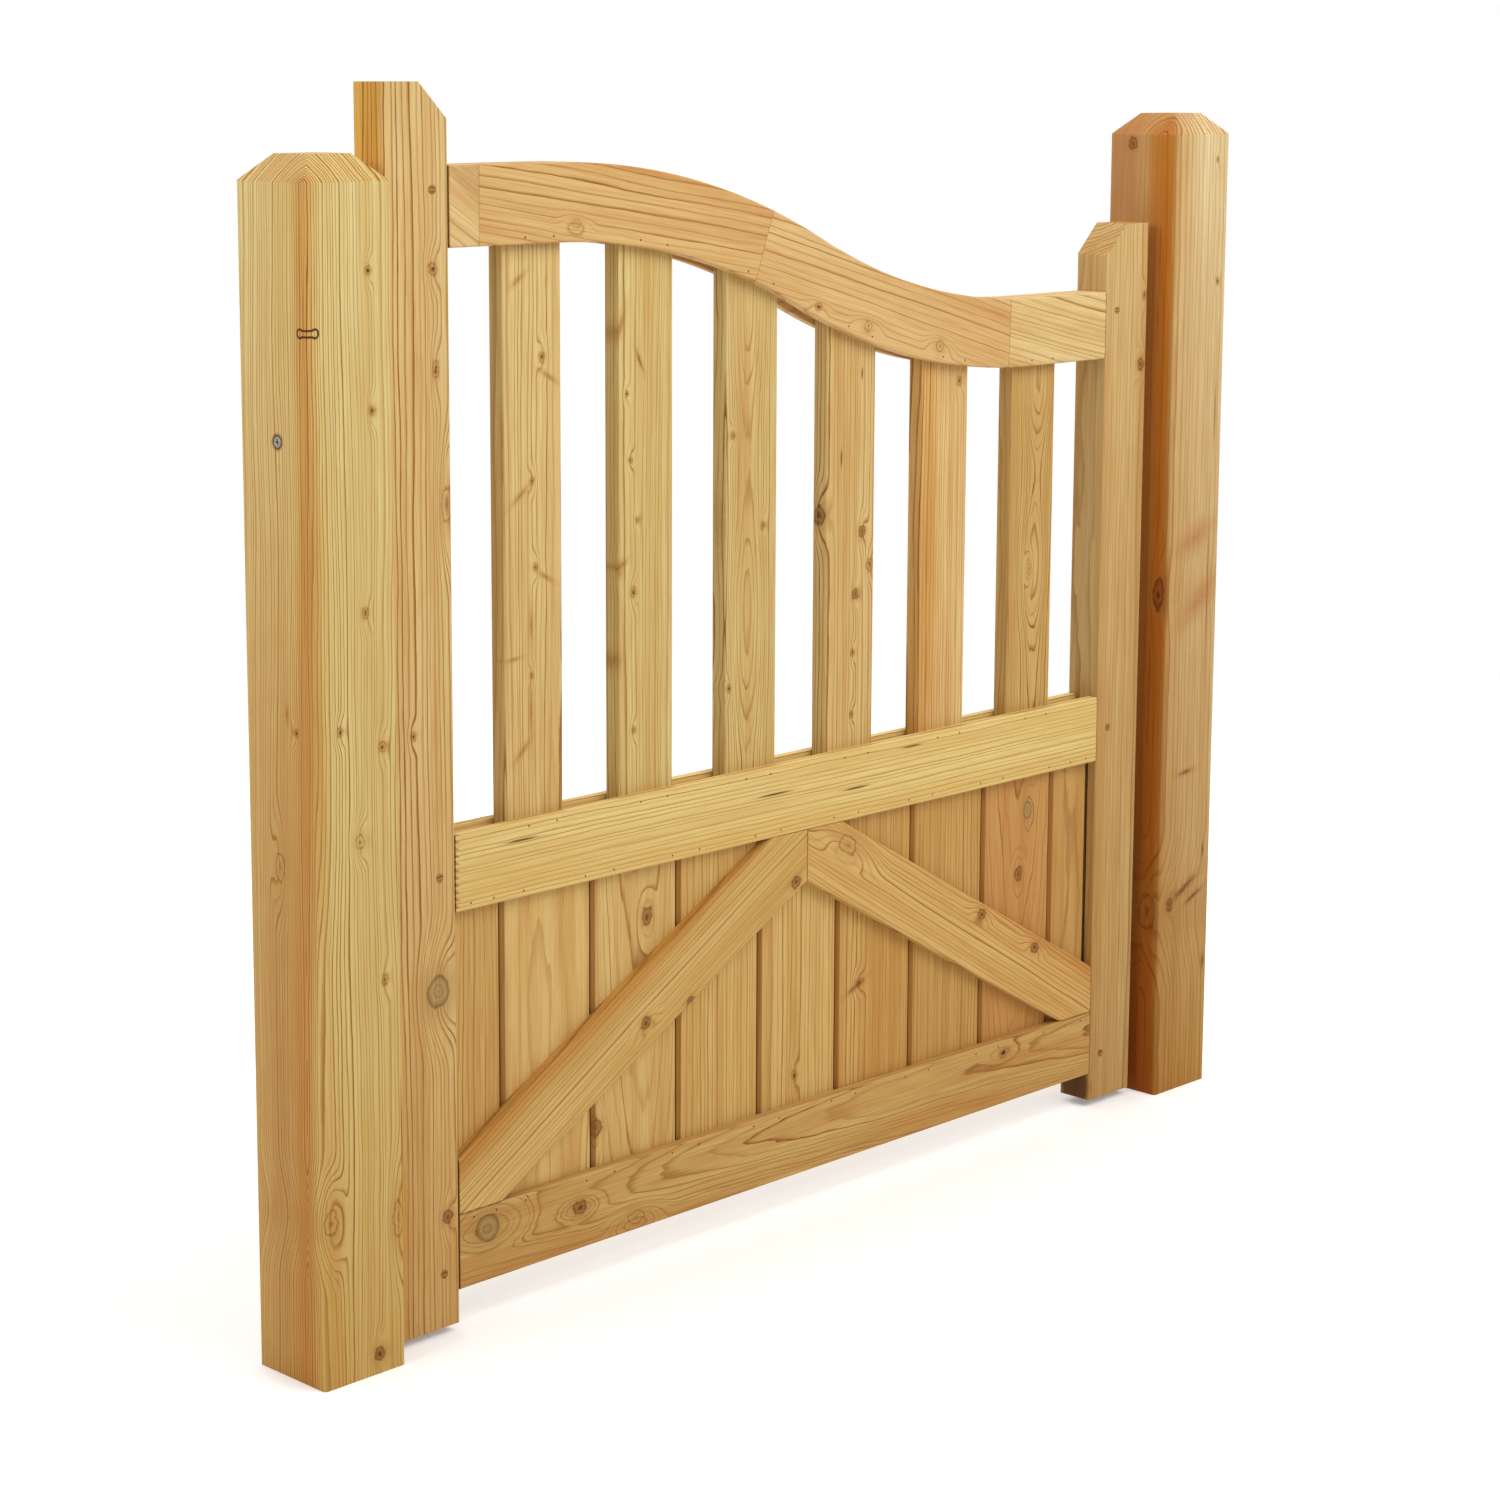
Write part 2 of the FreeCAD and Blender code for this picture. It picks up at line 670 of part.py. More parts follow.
def pintle(level):
    seat_z = level - strap_width / 2
    low = seat_z - pintle_arm_height
    boss_radius = pin_radius + pintle_boss_wall
    plate = box(hinge_reveal, pintle_face, pintle_front, pintle_back, low, low + pintle_plate_height)
    arm_front = pintle_back - pintle_arm_thickness
    arm = box(hinge_reveal, hinge_reveal + pintle_arm_thickness, arm_front, hinge_y, low, seat_z)
    boss = cylinder(boss_radius, pintle_arm_height, vector(hinge_x, hinge_y, low), along_z)
    pin = cylinder(pin_radius, strap_width + pin_stand, vector(hinge_x, hinge_y, seat_z), along_z)
    top_edge = [edge for edge in pin.Edges if edge.CenterOfMass.z > seat_z + strap_width]
    pin = pin.makeChamfer(pin_chamfer, [edge for edge in top_edge if edge.Closed])
    return cut_all(plate.fuse([arm, boss, pin]), pintle_screw_holes)


for place, level in hinge_levels.items():
    nodes["%s_hinge_strap" % place] = strap(level)
    nodes["%s_hinge_pintle" % place] = pintle(level)
nodes["strap_screws"] = Part.makeCompound(strap_screws)
nodes["pintle_screws"] = Part.makeCompound(pintle_screws)

# Sliding bolt: plate with two guides, rod, knob and keep
plate = box(bolt_left, bolt_right, leaf_back, bolt_face, bolt_low, bolt_high)
plate = plate.makeFillet(bolt_plate_corner, edges_along(plate, along_y))
guide_half = rod_radius + rod_fit + guide_wall
guide_starts = (bolt_left + guide_inset, bolt_right - guide_inset - guide_width)
for start in guide_starts:
    block = box(start, start + guide_width, bolt_face, rod_y, rod_z - guide_half, rod_z + guide_half)
    crown = cylinder(guide_half, guide_width, vector(start, rod_y, rod_z), along_x)
    crown = crown.common(box(start, start + guide_width, bolt_face, rod_y + guide_half,
                             rod_z - guide_half, rod_z + guide_half))
    plate = plate.fuse([block, crown])
guide_bore_foot = vector(bolt_left, rod_y, rod_z)
guide_bore = cylinder(rod_radius + rod_fit, bolt_plate_length, guide_bore_foot, along_x)
nodes["bolt_plate"] = cut_all(plate.removeSplitter(), [guide_bore] + bolt_screw_holes)

rod_right = leaf_right - rod_tip_inset
rod_left = bolt_left - rod_throw / 2
rod = cylinder(rod_radius, rod_right - rod_left, vector(rod_left, rod_y, rod_z), along_x)
rod_ends = [edge for edge in rod.Edges if edge.Closed and abs(edge.CenterOfMass.x - rod_right) < 1e-6]
rod = rod.makeChamfer(rod_tip_chamfer, rod_ends)
knob_x = (guide_starts[0] + guide_width + guide_starts[1]) / 2 - rod_throw / 2
knob_seat = rod_y + rod_radius - knob_stem_seat
knob_foot = rod_y + rod_radius + knob_neck
stem = cylinder(knob_stem_diameter / 2, knob_foot - knob_seat, vector(knob_x, knob_seat, rod_z), along_y)
head = cylinder(knob_diameter / 2, knob_height, vector(knob_x, knob_foot, rod_z), along_y)
head = head.makeFillet(knob_ease, [edge for edge in head.Edges if edge.Closed])
nodes["bolt_rod"] = cut_all(rod, [stem])
nodes["bolt_knob"] = head.fuse(stem).removeSplitter()
nodes["bolt_plate_screws"] = Part.makeCompound(bolt_screws)

keep_low = rod_z - keep_height / 2
keep = box(keep_face, latch_reveal, rod_y - keep_width / 2, rod_y + keep_width / 2, keep_low, keep_low + keep_height)
keep = keep.makeFillet(bolt_plate_corner, edges_along(keep, along_x))
nodes["bolt_keep"] = cut_all(keep, keep_screw_holes + [bolt_socket])
nodes["keep_screws"] = Part.makeCompound(keep_screws)

os.makedirs("parts", exist_ok=True)
for name, shape in nodes.items():
    shape.exportStep("parts/%s.step" % name)
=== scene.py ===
import math

import bpy
from mathutils import Matrix, Vector


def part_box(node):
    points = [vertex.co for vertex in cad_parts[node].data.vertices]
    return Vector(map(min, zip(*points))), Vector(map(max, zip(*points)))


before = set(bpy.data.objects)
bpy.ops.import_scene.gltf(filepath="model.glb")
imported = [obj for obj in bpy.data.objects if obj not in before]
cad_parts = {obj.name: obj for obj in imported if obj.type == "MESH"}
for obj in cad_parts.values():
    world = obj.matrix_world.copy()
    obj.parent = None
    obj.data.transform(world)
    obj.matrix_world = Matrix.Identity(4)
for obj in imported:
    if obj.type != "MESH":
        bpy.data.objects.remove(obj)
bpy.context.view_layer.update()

print("gate frame loaded,", len(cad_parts), "pieces")
mm = 0.001  # the frame is in metres


def linear(hexColour):  # sRGB hex to linear light
    shares = [int(hexColour[at:at + 2], 16) / 255 for at in (1, 3, 5)]
    return [s / 12.92 if s <= 0.04045 else ((s + 0.055) / 1.055) ** 2.4 for s in shares]


def addNode(tree, kind, sockets, out=0, **settings):  # gives back the new node's output
    node = tree.nodes.new("ShaderNode" + kind)
    for name, value in settings.items():
        setattr(node, name, value)
    for socket, value in sockets.items():
        if isinstance(value, bpy.types.NodeSocket):
            tree.links.new(value, node.inputs[socket])
        else:
            node.inputs[socket].default_value = value
    return node.outputs[out]


mixColours = {"out": 2, "data_type": "RGBA"}  # for a Mix node
darken = {**mixColours, "blend_type": "MULTIPLY"}


# marks that branches, resin and bends of the log leave in larch, and painted shade round a screw head and
# low on a stile under its rail
# push: how far rings bend round it, in half widths
# stops: distance from the middle, colour, how much it covers
larchMarks = {
    "knot": {"push": 1.7, "ragged": 0.5, "stops": [
        (0.0, "#4E2C0E", 0.9), (0.12, "#743E0E", 0.85), (0.26, "#A06220", 0.7), (0.36, "#703E10", 0.8),
        (0.43, "#5E3008", 0.7), (0.52, "#B67C30", 0.3), (1.0, "#B08040", 0.0)]},
    "greyKnot": {"push": 1.6, "ragged": 0.2, "stops": [
        (0.0, "#8A6E42", 0.8), (0.08, "#B69A66", 0.8), (0.16, "#967A4C", 0.8), (0.24, "#B49864", 0.8),
        (0.33, "#9A7E50", 0.75), (0.4, "#6E4C24", 0.75), (0.46, "#A88450", 0.35), (1.0, "#B08A4C", 0.0)]},
    "eye": {"push": 2.1, "ragged": 0.4, "stops": [
        (0.0, "#7C4410", 0.8), (0.1, "#A87638", 0.5), (0.28, "#C69A58", 0.25), (0.37, "#844A12", 0.7),
        (0.44, "#BC8E4A", 0.3), (1.0, "#BC8E4A", 0.0)]},
    "pin": {"push": 1.4, "ragged": 0.5, "stops": [
        (0.0, "#3E220A", 0.95), (0.12, "#70400E", 0.8), (0.26, "#BC8238", 0.5), (0.36, "#7C4610", 0.7),
        (0.44, "#BC8238", 0.3), (0.7, "#B48844", 0.0)]},
    "slit": {"push": 0.0, "ragged": 0.3, "stops": [
        (0.0, "#4A2C08", 0.95), (0.3, "#6A4416", 0.85), (0.5, "#B48C48", 0.3), (0.8, "#B48C48", 0.0)]},
    "crack": {"push": 0.0, "ragged": 0.5, "stops": [
        (0.0, "#6E3E14", 0.85), (0.28, "#8E5A26", 0.6), (0.5, "#B4844A", 0.25), (1.0, "#B4844A", 0.0)]},
    "streak": {"push": 0.0, "ragged": 0.36, "stops": [
        (0.0, "#9A5E1E", 0.7), (0.3, "#AA7230", 0.5), (0.6, "#BE8C46", 0.22), (1.0, "#BE8C46", 0.0)]},
    "redStripe": {"push": 0.0, "ragged": 0.3, "stops": [
        (0.0, "#B4743A", 0.6), (0.35, "#BE8044", 0.45), (1.0, "#CC9456", 0.0)]},
    # painted shadow: a dark ring in the wood round a screw head
    "bore": {"push": 0.0, "ragged": 0.1, "stops": [
        (0.0, "#3A2810", 0.9), (0.42, "#4A3418", 0.85), (0.5, "#8A6838", 0.4), (0.65, "#A8854C", 0.0)]},
    "lens": {"push": -0.5, "ragged": 0.2, "stops": [
        (0.0, "#E6CC8E", 0.2), (0.4, "#E6CC8E", 0.1), (1.0, "#E6CC8E", 0.0)]},
    # painted shade: a dark patch low on a stile's side, where the bottom rail shades it
    "soaked": {"push": 0.0, "ragged": 0.2, "stops": [
        (0.0, "#4E2E0C", 0.9), (0.42, "#5E3A14", 0.85), (0.62, "#8A5E2A", 0.0)]},
}
markDrawing = {
    "edge": 0.4,  # the distance in its stops at which a mark's own edge is
    "lumps": 0.9,  # lumps along a ragged edge for each half width
    "bend": (6.0, 3.2, 3.2),  # how far rings bend, in sizes of the mark: along, to the back, across
    "through": 1e6,  # mm, its size the way it goes through the timber
}

# noise stretched along the grain, mm
# moves: mm by which rings shift; browns: where a brown stain starts and is full, and how much it covers
larchNoise = {
    "wobble": {"length": 100, "width": 12, "detail": 2.0, "moves": 2.6},
    "ripple": {"length": 26, "width": 5, "detail": 2.0, "moves": 0.8},
    "band": {"length": 440, "width": 22, "detail": 3.0, "browns": (0.62, 0.32, 0.6)},
    "fibre": {"length": 60, "width": 1.3, "detail": 3.0, "browns": (0.62, 0.34, 0.5)},
}

# European larch, planed and left raw: soft pale earlywood, thin brown latewood lines,
# orange heartwood near the middle of the log, matte with a faint silk along the fibres
larch = {
    "tone": "#E8CB88",
    "grain": 90.0,  # degrees from level in the plane of the gate, None for a peg driven through
    "pith": (0.0, 60.0),  # the log's middle from the piece's in mm, across the grain and to the back
    "lean": 0.0,  # mm the log leans to the back for each mm along it
    "sway": 8.0,  # mm the rings wander
    "swayLength": 420.0,
    "swayWidth": 60.0,
    "swayDetail": 1.5,
    "seed": 1.0,
    "ring": 4.4,  # growth ring width next to the pith in mm
    "slow": 400.0,  # mm from the pith at which rings are twice as wide
    "pace": 2.2,  # rings by which a run of good or bad years shifts them
    "paceScale": 0.3,  # such runs in a year
    "lateShare": (0.47, 0.26, 0.09),  # what latewood keeps of the tone's red, green and blue
    "lateDepth": 0.9,
    "lateFrom": 0.45,  # part of the year at which latewood starts
    "latePeak": 0.94,  # part at which it is darkest
    "lateStop": (0.95, 1.0),  # parts between which it ends
    "lateGather": 2.2,  # power by which it darkens
    "lateYears": (0.3, 1.1),  # depth in the palest and the darkest year
    "lateBands": (0.45, 1.1),  # and in a brown and a pale band
    "bandRange": (0.3, 0.62),  # noise that makes a band brown and pale
    "heart": 0.0,  # heartwood radius in mm
    "heartSoft": 8.0,  # mm over which it fades
    "heartWander": 14.0,  # mm its edge wanders
    "heartShare": (0.88, 0.66, 0.40),  # what heartwood keeps of the tone
    "innerShare": (1.0, 1.0, 1.0),  # what sapwood next to the heartwood keeps of the tone
    "innerReach": 40.0,  # mm over which it pales
    "stain": "#E4C69C",  # the browner bands along the grain
    "endTone": "#EAD3B0",  # sawn ends drink more
    "endFacing": (0.5, 0.95),  # how far a face looks along the grain where that starts and is full
    "boldFacing": (0.4, 0.8),  # the same for its bolder rings
    "endBold": 2.8,  # times as bold
    "foot": "#E2D8C8",  # painted shade: darker towards the ground, up to a metre
    "silk": (0.52, 0.78),  # roughness
    "specular": 0.15,
    "lateRise": 0.7,  # latewood stands up by this share of the fibres' relief
    "rise": 0.0004,  # relief in m
    "riseStrength": 0.4,
    "marks": [],  # kind, place in mm (None where it goes through), half length, half width, turn in degrees
    "veeAt": None,  # x of the vee joint on the board's left, mm
    "seams": [],  # butted joints: x, z in mm, fall in degrees, how dark
    "patch": None,  # height of a dumbbell patch let in across the front left edge, mm
    "nicksAt": None,  # x of a shoulder with torn fibres and painted shade along it, mm
}
# painted shade along the flank of each vee joint between boards
veeShade = {"tone": "#9A6424", "flank": (3.6, 5.0), "depth": 0.65}  # mm from the joint's middle
seamLine = {"tone": "#7C5224", "wander": 2.0, "lumps": 0.3, "half": (0.3, 1.0)}  # mm
inlay = {"tone": "#4E2808", "offset": 8.6, "lobe": 3.6, "waist": 2.6, "deep": 20.0, "rim": (0.5, 1.4)}  # mm
# torn fibres and painted shade along a rail's shoulder
tornShoulderShade = {"tone": "#8A5C26", "apart": 6.5, "reach": (6.0, -3.0), "edge": (-1.2, 0.6), "depth": 0.6}  # mm
larchPieces = {
    "hinge_post": {
        "tone": "#E7D698", "pith": (46, -33), "ring": 2.3, "slow": 90, "heart": 11, "heartSoft": 10,
        "lean": 0.02, "innerShare": (0.96, 0.89, 0.74), "innerReach": 28, "stain": "#EBD5B2",
        "foot": "#DCCBAE", "lateDepth": 1.35, "sway": 8.0, "swayLength": 320.0,
        "heartShare": (0.86, 0.6, 0.4), "seed": 1.0, "patch": 906, "marks": [
            # the dark ring round the post screw is painted shadow
            ("redStripe", (-630, 8, 260), 420, 24), ("bore", (-630, -4, 815), 5.6, 5.6),
            ("pin", (-565, None, 955), 4.5, 3.5), ("pin", (-562, None, 839), 4.5, 4),
            ("pin", (-602, None, 573), 4, 3.5), ("pin", (-557, None, 554), 5, 4),
            ("pin", (-573, None, 670), 5, 4), ("eye", (-582, None, 476), 6, 5),
            ("pin", (-557, None, 351), 5, 4), ("eye", (-620, None, 148), 12, 8),
            ("knot", (-569, None, 18), 6, 5), ("pin", (None, -22, 573), 4, 3.5),
            ("eye", (-546, None, 135), 16, 6), ("eye", (None, 3, 454), 13, 6),
            ("streak", (None, -10, 587), 8, 2)]},
    "latch_post": {
        "tone": "#E7D6A8", "pith": (49, -24), "ring": 5.0, "lateDepth": 0.6, "heart": 20, "heartSoft": 8,
        "innerShare": (0.82, 0.66, 0.48), "innerReach": 46, "foot": "#C2A26A", "sway": 4.0, "seed": 2.3,
        "heartShare": (0.72, 0.34, 0.055), "marks": [
            ("redStripe", (540, 36, 1000), 600, 26), ("redStripe", (540, 30, 1020), 500, 24),
            ("knot", (None, 15, 1040), 6, 5), ("knot", (None, -33, 560), 15, 6),
            ("eye", (None, -28, 205), 20, 12), ("knot", (558, None, 214), 7, 5),
            ("crack", (582, None, 359), 12, 2.6, 84), ("crack", (584, None, 228), 26, 4, 62),
            ("crack", (601, None, 216), 16, 2.5, 66), ("crack", (612, None, 560), 70, 1.2),
            ("crack", (617, None, 750), 34, 1.2), ("pin", (615, None, 893), 4, 3),
            ("pin", (610, None, 1023), 3, 2.5), ("redStripe", (588, None, 618), 22, 9, 66),
            ("redStripe", (592, None, 545), 24, 9, 52), ("crack", (617, None, 266), 9, 2),
            ("crack", (622, None, 138), 9, 2.4)]},
    "hinge_stile": {
        "tone": "#E4C88C", "pith": (55, 20), "ring": 3.8, "lateDepth": 1.4, "heart": 46,
        "heartShare": (0.98, 0.8, 0.4), "sway": 5.0, "seed": 3.1, "marks": [
            ("greyKnot", (-476, None, 319), 14, 12), ("pin", (-473, None, 951), 6, 5),
            ("pin", (-471, None, 866), 8, 4), ("pin", (-501, None, 551), 4, 3.5),
            ("eye", (-460, None, 749), 16, 6), ("knot", (-468, None, 110), 6, 5)]},
    "latch_stile": {
        "tone": "#DABF86", "pith": (-70, 30), "ring": 4.2, "lateDepth": 0.65, "foot": "#D9CCB9",
        "seed": 4.7, "marks": [
            ("pin", (520, None, 882), 5, 4), ("knot", (516, None, 809), 6, 5),
            # painted shade low on the stile's inner side, under the bottom rail
            ("soaked", (455, 0, 22), 24, 14)]},
    "bottom_rail": {
        "tone": "#DABE7D", "grain": 0, "pith": (14, 26), "ring": 2.7, "lateFrom": 0.5, "lateDepth": 1.15,
        "sway": 7.0, "swayLength": 300.0, "swayWidth": 44.0, "stain": "#E2B98C", "lean": 0.03,
        "seed": 5.9, "seams": [(-454.2, 73, 0, 0.7), (454.2, 73, 0, 0.7)], "marks": [
            ("greyKnot", (-421, None, 87), 14, 12), ("knot", (-307, None, 78), 8, 6),
            ("eye", (-234, None, 50), 10, 7), ("pin", (307, None, 94), 8, 5)]},
    "middle_rail": {
        "tone": "#EFD993", "grain": 0, "pith": (80, 20), "ring": 3.4, "lateDepth": 1.05, "sway": 4.0,
        "stain": "#EEDABB", "seed": 6.3, "nicksAt": -455, "seams": [(454.2, 421, 0, 0.7)], "marks": [
            ("slit", (-376, None, 439), 18, 1.0), ("slit", (-47, None, 429), 22, 1.0),
            ("slit", (70, None, 417), 18, 1.0), ("slit", (153, None, 447), 14, 0.9)]},
    "top_rail_block_1": {
        "tone": "#E3C48A", "grain": -32, "pith": (40, 40), "ring": 6.0, "lateDepth": 0.5, "seed": 7.7,
        "seams": [(-420, 1003, 0, 0.3), (-454.2, 1003, 0, 0.7)]},
    "top_rail_block_2": {
        "tone": "#DFB97B", "grain": -9, "pith": (72, 24), "ring": 4.6, "lateFrom": 0.58, "heart": 50,
        "heartSoft": 14, "sway": 8.0, "seed": 8.1,
        "seams": [(-420, 1003, 0, 0.3), (-65, 955.6, 20.3, 0.3)], "marks": [
            ("eye", (-306, None, 984), 5, 4.2), ("pin", (-149, None, 941), 4, 3)]},
    "top_rail_block_3": {
        "tone": "#E3C086", "grain": -16, "pith": (70, 24), "ring": 5.0, "lateFrom": 0.62, "heart": 48,
        "heartSoft": 14, "heartShare": (0.92, 0.74, 0.52), "sway": 8.0, "seed": 9.4,
        "seams": [(-65, 955.6, 20.3, 0.3), (297, 853.7, 2.5, 0.3)], "marks": [
            ("pin", (10, None, 895), 5, 4), ("eye", (81, None, 873), 6, 5),
            ("eye", (188, None, 847), 6, 6)]},
    "top_rail_block_4": {
        "tone": "#E8D095", "grain": -13, "pith": (60, 30), "ring": 3.8, "seed": 10.2,
        "seams": [(297, 853.7, 2.5, 0.3), (454.2, 853, 0, 0.7)]},
    "pale_1": {
        "tone": "#E5CB8C", "pith": (-50, 40), "ring": 3.3, "lateDepth": 1.1, "sway": 6.0, "seed": 11.6,
        "marks": [
            ("streak", (-366, None, 937), 9, 2.4, 55), ("pin", (-338, None, 868), 5, 3.5),
            ("streak", (-330, None, 850), 10, 2.2, -60), ("pin", (-351, None, 759), 4, 3),
            ("streak", (-365, None, 747), 11, 2.2, 50), ("pin", (-347, None, 681), 4, 3),
            ("streak", (-335, None, 671), 9, 2.2, -60), ("streak", (-353, None, 630), 12, 2),
            ("streak", (-374, None, 601), 8, 1.6, 84), ("pin", (-353, None, 584), 3, 2.5),
            ("streak", (-354, None, 552), 20, 2), ("streak", (-364, None, 517), 11, 2.6, 45)]},
    "pale_2": {
        "tone": "#E3CF8E", "pith": (70, 30), "ring": 3.8, "lateDepth": 1.0, "sway": 7.0, "seed": 12.8,
        "marks": [
            ("streak", (-242, None, 889), 14, 3, 20), ("crack", (-218, None, 858), 11, 2, -25),
            ("pin", (-234, None, 828), 3, 2.5), ("pin", (-230, None, 767), 3.5, 3),
            ("pin", (-221, None, 711), 3, 2.5), ("knot", (-250, -9, 668), 6, 4.5),
            ("streak", (-240, None, 672), 7, 2.4, 60), ("pin", (-226, None, 645), 5, 4),
            ("streak", (-247, None, 583), 8, 5), ("pin", (-226, None, 516), 3.5, 3)]},
    "pale_3": {
        "tone": "#DFC888", "pith": (4, 14), "ring": 2.3, "lateFrom": 0.55, "lateDepth": 1.15, "sway": 3.0,
        "lean": 0.006, "seed": 13.3, "marks": [
            ("lens", (-77, None, 598), 26, 14), ("lens", (-77, None, 900), 24, 14),
            ("pin", (-54, None, 690), 4, 3), ("pin", (-95, None, 779), 3.5, 3),
            ("pin", (-100, None, 538), 4, 3), ("streak", (-108, None, 700), 24, 3)]},
    "pale_4": {
        "tone": "#E1C688", "pith": (60, 35), "ring": 3.3, "lateDepth": 1.15, "sway": 6.0, "seed": 14.9,
        "marks": [
            ("knot", (87, None, 670), 6, 4.5), ("pin", (99, None, 636), 6, 5),
            ("knot", (78, None, 609), 4.5, 4), ("pin", (75, None, 551), 4, 3),
            ("pin", (74, None, 489), 4, 3), ("slit", (56, None, 745), 9, 1.0),
            ("slit", (85, None, 826), 6, 1.0), ("knot", (35, 0, 690), 9, 6)]},
    "pale_5": {
        "tone": "#EACE93", "pith": (75, 15), "ring": 3.5, "lateDepth": 1.1, "heart": 70, "heartSoft": 20,
        "heartShare": (0.92, 0.76, 0.54), "sway": 5.0, "seed": 15.2, "marks": [
            ("pin", (232, None, 809), 5, 4)]},
    "pale_6": {
        "tone": "#D5B674", "pith": (-8, 15), "ring": 2.3, "lateFrom": 0.55, "lateDepth": 1.2, "sway": 5.0,
        "lean": 0.02, "seed": 16.5, "marks": [
            ("lens", (348, None, 605), 18, 14), ("eye", (348, None, 605), 6, 3.5),
            ("lens", (356, None, 800), 16, 14)]},
    "board_1": {"tone": "#DFBF7B", "pith": (50, 30), "ring": 4.0, "seed": 17.1},
    "board_2": {
        "tone": "#EACF8D", "pith": (5, 80), "ring": 4.2, "sway": 12.0, "lateDepth": 0.65, "seed": 18.7,
        "veeAt": -392},
    "board_3": {
        "tone": "#E4C887", "pith": (0, 50), "ring": 3.8, "lateFrom": 0.62, "sway": 10.0, "lean": 0.05,
        "seed": 19.4, "veeAt": -280, "marks": [
            ("knot", (-209, None, 336), 8, 6), ("knot", (-276, None, 145), 8, 6)]},
    "board_4": {
        "tone": "#E3C580", "pith": (70, 20), "ring": 4.2, "sway": 5.0, "seed": 20.6, "veeAt": -168},
    "board_5": {
        "tone": "#E3C580", "pith": (60, 30), "ring": 4.2, "sway": 5.0, "seed": 21.2, "veeAt": -56,
        "marks": [
            ("pin", (-5, None, 136), 6, 4)]},
    "board_6": {
        "tone": "#DCB973", "pith": (78, 26), "ring": 4.2, "seed": 22.9, "veeAt": 56, "marks": [
            ("pin", (90, None, 212), 4, 6), ("crack", (85, None, 209), 15, 3, 66)]},
    "board_7": {
        "tone": "#D7B36D", "pith": (-80, 20), "ring": 4.0, "sway": 5.0, "seed": 23.3, "veeAt": 168},
    "board_8": {
        "tone": "#D5A969", "pith": (0, 55), "ring": 3.8, "lateFrom": 0.62, "sway": 10.0, "lean": 0.05,
        "seed": 24.8, "veeAt": 280, "marks": [
            ("greyKnot", (353, None, 347), 9, 6), ("knot", (340, None, 280), 7, 5)]},
    "board_9": {
        "tone": "#D3AD6C", "pith": (20, 70), "ring": 3.8, "lateFrom": 0.62, "sway": 12.0, "seed": 25.1,
        "veeAt": 392},
    "left_brace": {
        "tone": "#E2C681", "grain": 31.4, "pith": (60, 10), "ring": 3.8, "heart": 38, "heartSoft": 10,
        "heartShare": (0.9, 0.74, 0.54), "sway": 5.0, "seed": 26.4,
        "seams": [(0, 350, 0, 0.8), (-454.2, 150, 0, 0.8), (-400, 108.6, 90, 0.8)], "marks": [
            ("knot", (-221, None, 237), 6, 5), ("knot", (-162, None, 246), 5, 4),
            ("pin", (-191, None, 216), 4, 3), ("knot", (-16, None, 336), 6, 5)]},
    "right_brace": {
        "tone": "#E4C27D", "grain": -31.4, "pith": (60, 10), "ring": 3.8, "heart": 38, "heartSoft": 10,
        "heartShare": (0.88, 0.7, 0.52), "sway": 5.0, "seed": 27.7,
        "seams": [(0, 350, 0, 0.8), (454.2, 150, 0, 0.8), (400, 108.6, 90, 0.8)], "marks": [
            ("knot", (267, None, 252), 6, 5), ("knot", (356, None, 199), 6, 5),
            ("eye", (60, None, 360), 14, 9)]},
    "hinge_stile_pegs": {
        "tone": "#C4A87E", "grain": None, "pith": (22, 6), "ring": 2.2, "sway": 2.0, "seed": 28.3},
    "latch_stile_pegs": {
        "tone": "#C4A87E", "grain": None, "pith": (22, 6), "ring": 2.2, "sway": 2.0, "seed": 29.6},
}


